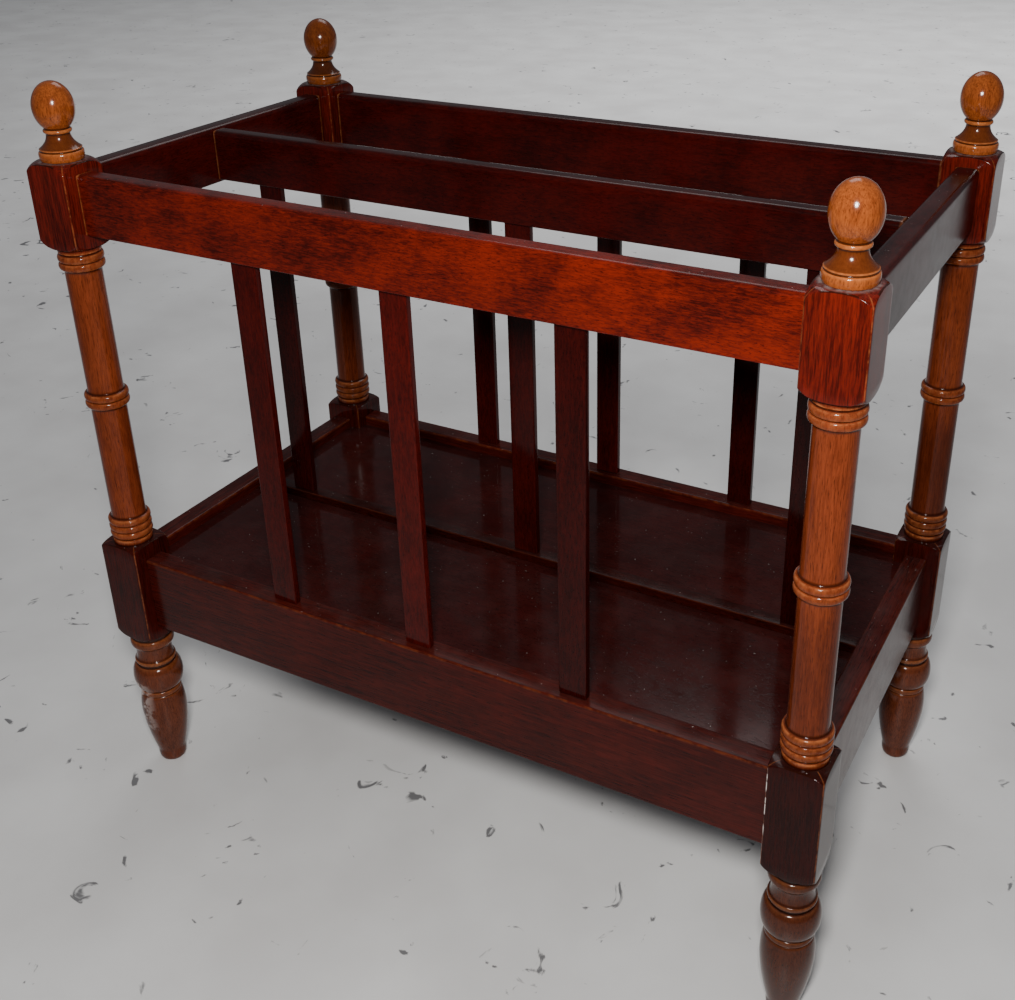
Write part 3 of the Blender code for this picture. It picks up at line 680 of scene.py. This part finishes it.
# %% [markdown]
# ## Finials and feet
# These are the smallest turnings and the ones that catch most light. The finial is an egg on a thin
# collar, a flared neck and a wide base. The foot is a bead, a cove, a ball and a long vase that tapers
# to its end. Sharp grooves between the shapes are what makes them read as turned, so they are in the
# outline itself.

# %% Finials
finial_low, finial_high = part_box("finial_front_left")
FINIAL_R = (finial_high.x - finial_low.x) / 2
FINIAL_TOP = finial_high.z
FINIAL_SEAT = UPPER_TOP + 0.3 * MM
NECK_TOP = FINIAL_TOP - 26.4 * MM
NECK_LOW = FINIAL_SEAT + 6.9 * MM


def finial_outline():
    """From the tip of the egg down to the base."""
    half = 14.5 * MM
    centre = FINIAL_TOP - half
    angles = [0.8 * pi * step / 30 for step in range(1, 31)]
    egg = [(11.8 * MM * sin(angle), centre + half * cos(angle)) for angle in angles]
    neck_r, neck_top = egg[-1]
    collar = arc((neck_r, neck_top - 0.3 * MM), (neck_r, neck_top - 2.7 * MM), 1.1 * MM)
    neck_low = (neck_r - 0.2 * MM, neck_top - 3.1 * MM)
    ridge = (11.9 * MM, FINIAL_SEAT + 6.6 * MM)
    neck = curve(neck_low, (neck_r - 0.2 * MM, neck_low[1] - 3.4 * MM),
                 (8.6 * MM, ridge[1] + 2.4 * MM), ridge)
    cove_low = (11.8 * MM, ridge[1] - 1.3 * MM)
    cove = arc((ridge[0] - 0.1 * MM, ridge[1] - 0.4 * MM), cove_low, -0.5 * MM)
    widest = (FINIAL_R, FINIAL_SEAT + 3.4 * MM)
    base = curve(cove_low, (12.2 * MM, cove_low[1]), (FINIAL_R, widest[1] + 1.2 * MM), widest, 8)
    base += curve(widest, (FINIAL_R, FINIAL_SEAT + 1.8 * MM), (12.2 * MM, FINIAL_SEAT + 0.4 * MM),
                  (11.9 * MM, FINIAL_SEAT), 8)
    return [*egg, *collar, neck_low, *neck, *cove, *base]


print(f"a finial is {(FINIAL_TOP - FINIAL_SEAT) / MM:.1f} mm high and {2 * FINIAL_R / MM:.1f} mm wide")

# %% Feet
foot_low, foot_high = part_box("foot_front_left")
FOOT_BALL_R = (foot_high.x - foot_low.x) / 2


def foot_outline():
    """From the seat under the block down to the floor."""
    seat = LOWER_SEAT - 0.3 * MM
    neck_r = 12.8 * MM
    bead_top = seat - 2.8 * MM
    bead_low = bead_top - 6.6 * MM
    cove_low = bead_low - 10.5 * MM
    ridge = cove_low - 1.6 * MM
    ball_top = ridge - 3.2 * MM
    ball_low = ball_top - 20 * MM
    lower_ridge = ball_low - 3.2 * MM
    vase_top = (13.7 * MM, lower_ridge - 1.6 * MM)
    waist = (9.6 * MM, 9.5 * MM)
    return densify([
        (neck_r, seat),
        *arc((neck_r, bead_top), (neck_r, bead_low), 1.8 * MM),
        *arc((neck_r, bead_low - 0.3 * MM), (neck_r, cove_low), -0.9 * MM),
        *arc((neck_r, cove_low - 0.2 * MM), (neck_r, ridge - 1.6 * MM), 0.9 * MM),
        *arc((neck_r, ball_top), (neck_r, ball_low), FOOT_BALL_R - neck_r, 24),
        *arc((neck_r, ball_low - 0.6 * MM), (neck_r + 0.4 * MM, lower_ridge - 1.2 * MM), 0.9 * MM),
        vase_top,
        *curve(vase_top, (17.6 * MM, vase_top[1] - 14 * MM), (13.7 * MM, 26.5 * MM), waist, 26),
        *curve(waist, (9.6 * MM, 6 * MM), (10 * MM, 1 * MM), (6.5 * MM, 0), 10)], 2 * MM)


END_TONES = {"front_left": (0.85, 1.1), "front_right": (0.8, 0.6),
             "back_left": (0.5, 0.7), "back_right": (0.85, 1.1)}
for seed, (corner, (finial_tone, foot_tone)) in enumerate(END_TONES.items()):
    for kind, outline, stain, tone, deep_high, deep_low in (
            ("finial", finial_outline(), HONEY, finial_tone, NECK_TOP, NECK_LOW),
            ("foot", foot_outline(), FOOT_BROWN, foot_tone, 0, 0)):
        low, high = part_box(f"{kind}_{corner}")
        place = ((low.x + high.x) / 2, (low.y + high.y) / 2, 0)
        finish = lacquered_wood(f"{kind}_{corner}", ALONG_Z, **stain, tone=tone, gloss=0.13, ior=1.33,
                                seed=10 + seed)
        mesh = turned_mesh(f"turned_{kind}_{corner}", outline, deep_high, deep_low,
                           chipped=kind == "foot" and corner == "front_left")
        add_piece(f"turned_{kind}_{corner}", mesh, place, finish, kind, f"{kind}_{corner}")
print(f"four finials and four feet; a foot is {2 * FOOT_BALL_R / MM:.1f} mm wide at its ball")

# %% [markdown]
# ## Rails, aprons and slats
# The boards are planed wood with eased edges; the top rails have their upper edges rounded over. Each is
# a box with a Bevel modifier whose widths come from edge weights, so one modifier makes both the wide
# round-over and the small easing. The end edges are eased too: where a rail meets a post this leaves the
# fine V that catches the light. Wear is stored per point, so each box is first cut near its ends and
# its top, and the extra points keep the wear from spreading over a whole face.

# %% Board helper
TINY = 0.01 * MM
BOARD_GLOSS = 0.2


def board_mesh(name, low, high, along, top_round, ease, worn_ends=0.0, worn_top=0.0):
    """A board between two corners, with rounded top edges and eased others; some edges can be worn."""
    size = high - low
    work = bmesh.new()
    bmesh.ops.create_cube(work, size=1)
    bmesh.ops.scale(work, verts=work.verts, vec=size)
    lengthways = Vector([axis == along for axis in range(3)])
    near_end = size[along] / 2 - 3 * ease
    near_top = size.z / 2 - 2 * top_round
    for spot, facing in ((lengthways * near_end, lengthways), (lengthways * -near_end, lengthways),
                         (Vector((0, 0, near_top)), Vector((0, 0, 1)))):
        everything = [*work.verts, *work.edges, *work.faces]
        bmesh.ops.bisect_plane(work, geom=everything, plane_co=spot, plane_no=facing)
    mesh = bpy.data.meshes.new(name)
    work.to_mesh(mesh)
    work.free()
    shell = bpy.data.objects.new(name, mesh)
    bpy.context.scene.collection.objects.link(shell)
    weights = mesh.attributes.new("bevel_weight_edge", "FLOAT", "EDGE")
    for side in mesh.edges:
        start, end = (mesh.vertices[index].co for index in side.vertices)
        level = [axis for axis in range(3) if abs(start[axis] - end[axis]) < TINY]
        faces_shared = sum(abs(start[axis]) > size[axis] / 2 - TINY for axis in level)
        at_top = start.z > size.z / 2 - TINY and end.z > size.z / 2 - TINY
        rounded = at_top and abs((end - start)[along]) > TINY
        weights.data[side.index].value = 0 if faces_shared < 2 else 1 if rounded else ease / top_round
    bevel = shell.modifiers.new("eased edges", "BEVEL")
    bevel.limit_method = "WEIGHT"
    bevel.width = top_round
    bevel.segments = 8
    bevelled = shell.evaluated_get(bpy.context.evaluated_depsgraph_get())
    final = bpy.data.meshes.new_from_object(bevelled)
    bpy.data.objects.remove(shell)
    final.name = name
    final.shade_smooth()
    final.set_sharp_from_angle(angle=radians(40))
    across = 1 - along if along < 2 else 0
    worn = []
    for vertex in final.vertices:
        at_end = abs(vertex.co[along]) > near_end + ease
        on_round = size.z / 2 - top_round < vertex.co.z < size.z / 2 - TINY
        outer = abs(vertex.co[across]) > size[across] / 2 - top_round / 2
        worn.append(max(worn_ends * at_end, worn_top * (on_round and outer)))
    store(final, "edge", worn)
    return final


def add_board(node, along, stain, slot, top_round, ease, trim, worn_ends=0.0, worn_top=0.0, **finish):
    """A board in the box of its CAD node, less its hidden tenons; trim is what each end loses."""
    low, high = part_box(node)
    low, high = low + Vector(trim), high - Vector(trim)
    material = lacquered_wood(node, along, **stain, gloss=BOARD_GLOSS, **finish)
    mesh = board_mesh(f"planed_{node}", low, high, along, top_round, ease, worn_ends, worn_top)
    return add_piece(f"planed_{node}", mesh, (low + high) / 2, material, slot, node)


rail_low, rail_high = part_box("rail_front")
print(f"the front rail is {(rail_high.z - rail_low.z) / MM:.1f} mm deep")

# %% Rails and aprons
TENON_THICKNESS = 7 * MM
WEB_IN_POST = 2.2 * MM
MORTISE_CLEARANCE = 0.3 * MM
TENON = BLOCK_HALF - TENON_THICKNESS / 2 - WEB_IN_POST - MORTISE_CLEARANCE
X_TRIM, Y_TRIM = (TENON, 0, 0), (0, TENON, 0)
RAIL_ROUND = 3.2 * MM
EASE = 0.7 * MM
APRON_ROUND = 1.2 * MM
BATTEN_ROUND, BATTEN_EASE = 0.8 * MM, 0.5 * MM
DIVIDER_TRIM, BATTEN_TRIM = (5.4 * MM, 0, 0), (3 * MM, 0, 0)
END_WEAR, TOP_WEAR = 0.7, 0.4
for seed, (label, along, trim) in enumerate((("front", ALONG_X, X_TRIM), ("back", ALONG_X, X_TRIM),
                                             ("left", ALONG_Y, Y_TRIM), ("right", ALONG_Y, Y_TRIM))):
    stain, tone = (RAIL_RED, 0.9) if label == "front" else (DEEP_RED, 0.75)
    add_board(f"rail_{label}", along, stain, "rail", RAIL_ROUND, EASE, trim, worn_ends=END_WEAR,
              tone=tone, cloud=0.34, seed=20 + seed)
    add_board(f"apron_{label}", along, MAROON, "apron", APRON_ROUND, EASE, trim, worn_top=TOP_WEAR,
              grain_length=16 * MM, breakup=0.9, seed=30 + seed)
add_board("rail_divider", ALONG_X, DEEP_RED, "divider", RAIL_ROUND, EASE, DIVIDER_TRIM,
          worn_ends=END_WEAR, tone=0.65, cloud=0.3, seed=40)
add_board("batten_divider", ALONG_X, MAROON, "apron", BATTEN_ROUND, BATTEN_EASE, BATTEN_TRIM,
          worn_top=TOP_WEAR, tone=0.5, seed=41)
print(f"ten boards; {TENON / MM:.1f} mm of hidden tenon is left off each end of a rail or an apron")

# %% Slats
SLAT_IN_RAIL = 9 * MM
SLAT_EASE = 0.8 * MM
SLAT_ROWS = {"front": (6 * MM, 1, 55), "back": (6 * MM, 1, 54), "divider": (4 * MM, 0.6, 57)}
SLAT_TONES = {"left": 0.9, "middle": 1.15, "right": 0.55}
for row, (foot_depth, row_tone, first_seed) in SLAT_ROWS.items():
    for seed, (label, tone) in enumerate(SLAT_TONES.items()):
        node = f"slat_{row}_{label}"
        low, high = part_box(node)
        low.z, high.z = low.z + foot_depth, high.z - SLAT_IN_RAIL
        finish = lacquered_wood(node, ALONG_Z, **DEEP_RED, tone=tone * row_tone, seed=first_seed + seed)
        mesh = board_mesh(f"planed_{node}", low, high, ALONG_Z, SLAT_EASE, SLAT_EASE)
        add_piece(f"planed_{node}", mesh, (low + high) / 2, finish, "slat", node)
print(f"{len(SLAT_ROWS) * len(SLAT_TONES)} slats, the last {(high.z - low.z) / MM:.1f} mm long in view")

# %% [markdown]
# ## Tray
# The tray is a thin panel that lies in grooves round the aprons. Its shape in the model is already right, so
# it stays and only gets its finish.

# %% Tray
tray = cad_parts["panel_tray"]
tray_finish = lacquered_wood("panel_tray", ALONG_X, **TRAY_BROWN, cloud=0.4, gloss=0.09, dust_amount=0.012,
                             seed=60)
tray.data.materials.clear()
tray.data.materials.append(tray_finish)
print("the tray keeps its", len(tray.data.vertices), "points")
